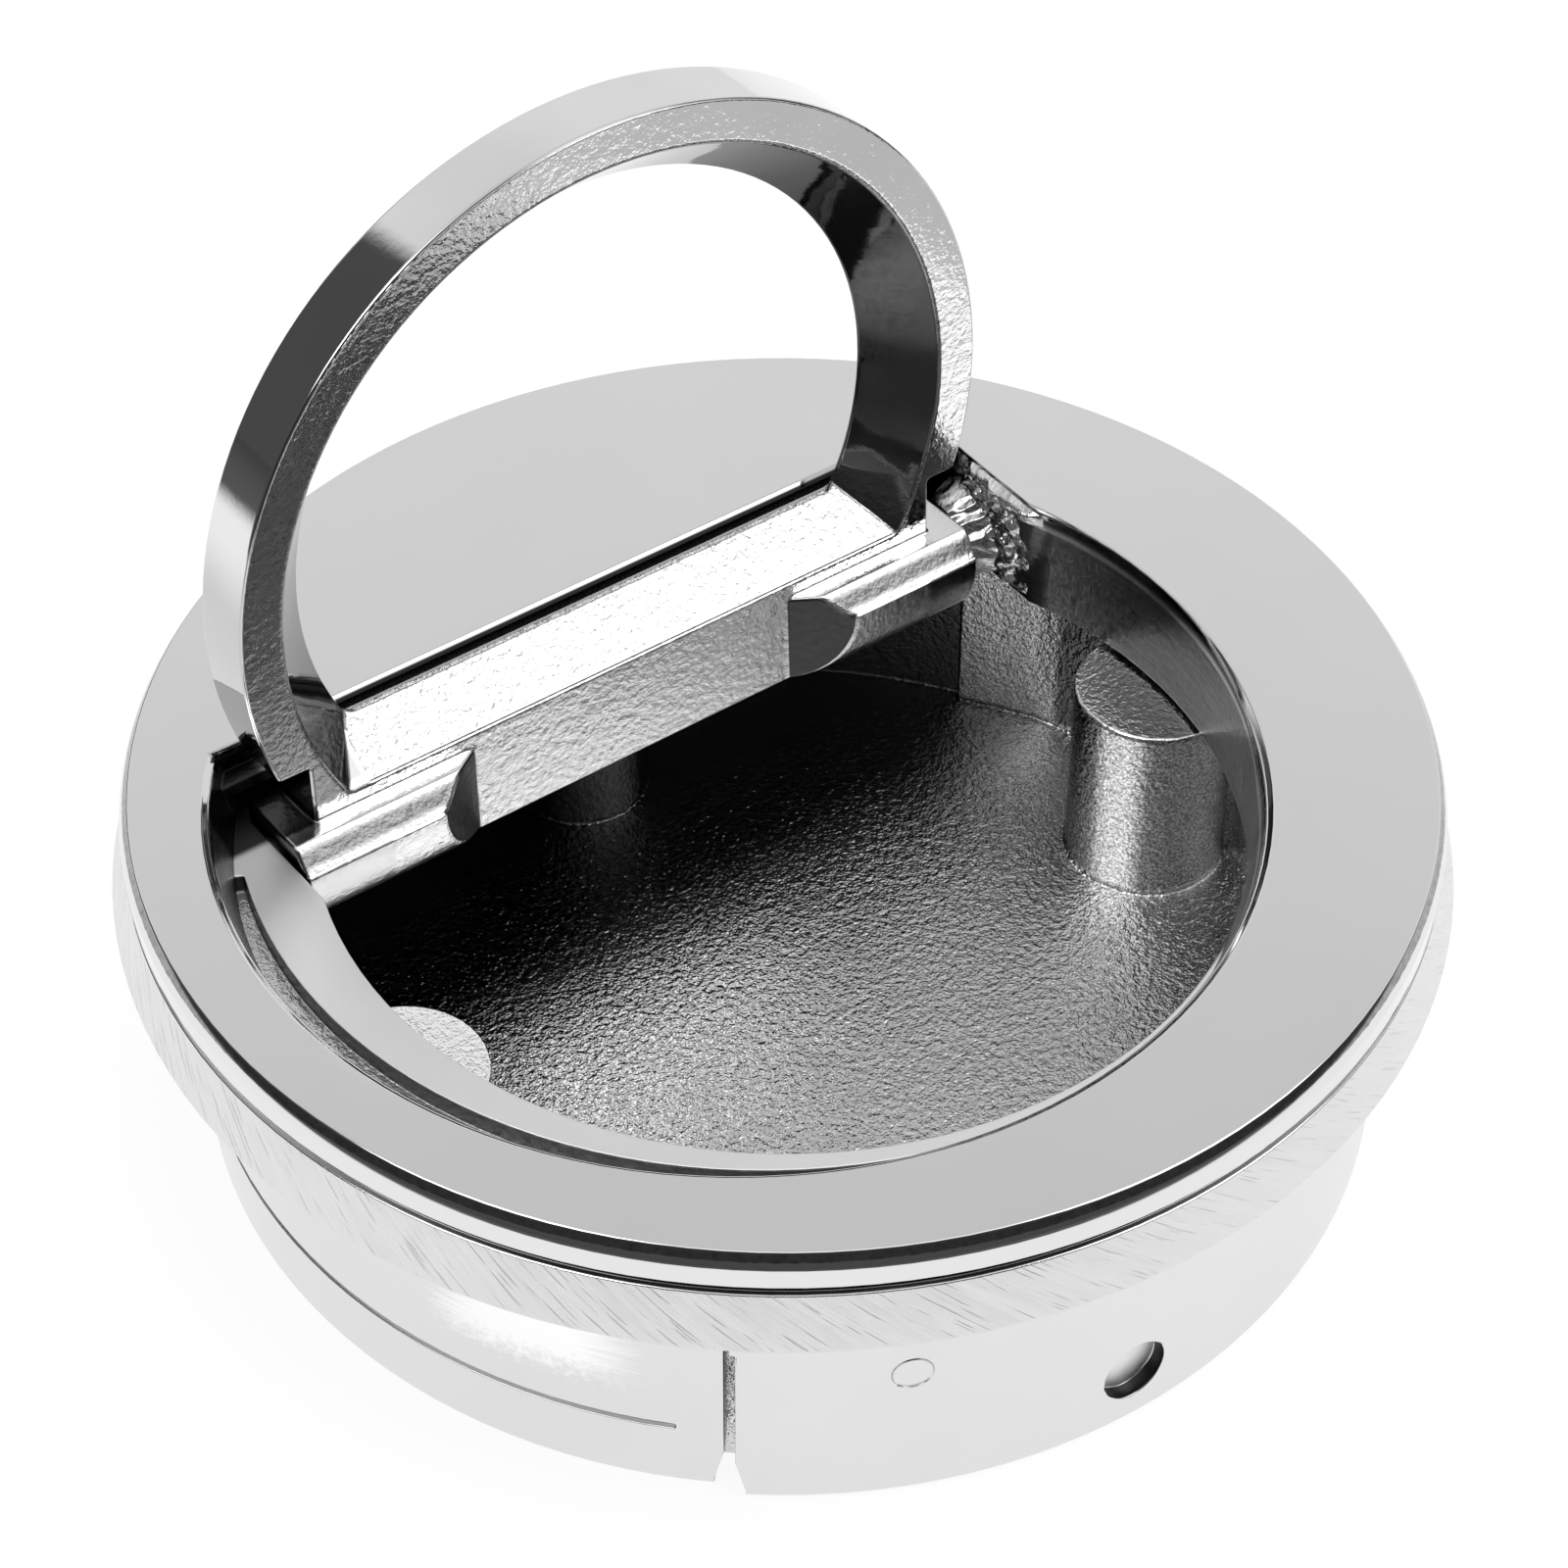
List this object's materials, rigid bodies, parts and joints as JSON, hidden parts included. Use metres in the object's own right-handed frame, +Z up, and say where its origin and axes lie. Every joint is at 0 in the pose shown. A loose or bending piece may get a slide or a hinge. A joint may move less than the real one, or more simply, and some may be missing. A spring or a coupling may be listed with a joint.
{
  "type": "recessed ring pull",
  "caption": "Round recessed ring pull: a chromed flanged bezel with a skirt and textured cup, and a hinged finger ring that stands up from the opening and folds flat into it.",
  "frame": {"origin": "on the flange axis, at the foot of the skirt", "axes": "+Z up out of the top face, +X along the hinge to the right, the ring folds towards -Y"},
  "size_m": [0.065, 0.065, 0.0486],
  "materials": {
    "bezel": "mirror-polished top, ground side, smooth plated skirt",
    "cup": "as-cast texture under plating",
    "ring": "polished plating with a lightly textured crossbar",
    "pins": "plain drawn steel"
  },
  "bodies": {
    "base": {"bezel": "bezel", "cup": "cup", "pin_left": "pins", "pin_right": "pins"},
    "ring": {"ring": "ring"}
  },
  "joints": [
    {"name": "ring_hinge", "type": "hinge", "parent": "base", "child": "ring", "pos_m": [0, 0.013, 0.01415], "axis": [1, 0, 0], "range_deg": [0, 92]}
  ]
}
